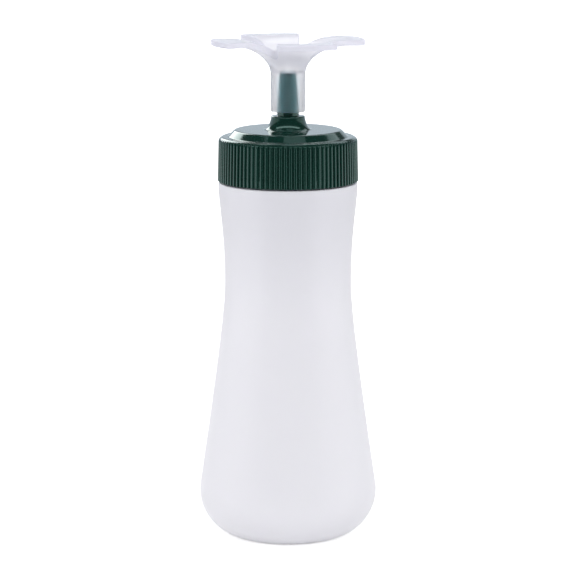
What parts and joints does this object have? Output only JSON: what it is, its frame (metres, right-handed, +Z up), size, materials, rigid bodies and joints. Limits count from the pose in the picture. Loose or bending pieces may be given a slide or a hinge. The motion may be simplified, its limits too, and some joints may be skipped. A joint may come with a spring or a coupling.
{
  "type": "squeeze bottle",
  "caption": "Squeeze bottle for sauce with a waisted translucent body, ribbed screw cap with a pouring nozzle, and a pull-off nozzle cover that opens into a flat petal stand.",
  "frame": {"origin": "centre of the base, on the surface that the bottle stands on", "axes": "+Z up along the bottle's axis; the petals' directions are 16, 106, 196 and 286 degrees from +X; the usual view looks along +Y"},
  "size_m": [0.0719, 0.0718, 0.2002],
  "materials": {
    "milky_body": "translucent natural polyethylene, satin, blow moulded",
    "washer_silicone": "pale silicone, dull",
    "green_cap": "dark green polypropylene, glossy, injection moulded",
    "clear_cover": "clear polypropylene, slightly hazy, glossy"
  },
  "bodies": {
    "bottle": {"bottle": "milky_body"},
    "seal": {"sealing_washer": "washer_silicone"},
    "cap": {"screw_cap": "green_cap"},
    "cover": {"nozzle_cover": "clear_cover"}
  },
  "joints": [
    {"name": "cap_lift", "type": "slide", "parent": "bottle", "child": "seal", "axis": [0, 0, 1], "range_m": [0, 0.0169]},
    {"name": "cap_turn", "type": "hinge", "parent": "seal", "child": "cap", "pos_m": [0, 0, 0.15], "axis": [0, 0, 1], "range_deg": [0, 1440]},
    {"name": "cover_pull", "type": "slide", "parent": "cap", "child": "cover", "axis": [0, 0, 1], "range_m": [0, 0.03]}
  ],
  "couplings": [
    {"joint": "cap_lift", "follows": "cap_turn", "m_per_rad": 0.00066845}
  ]
}
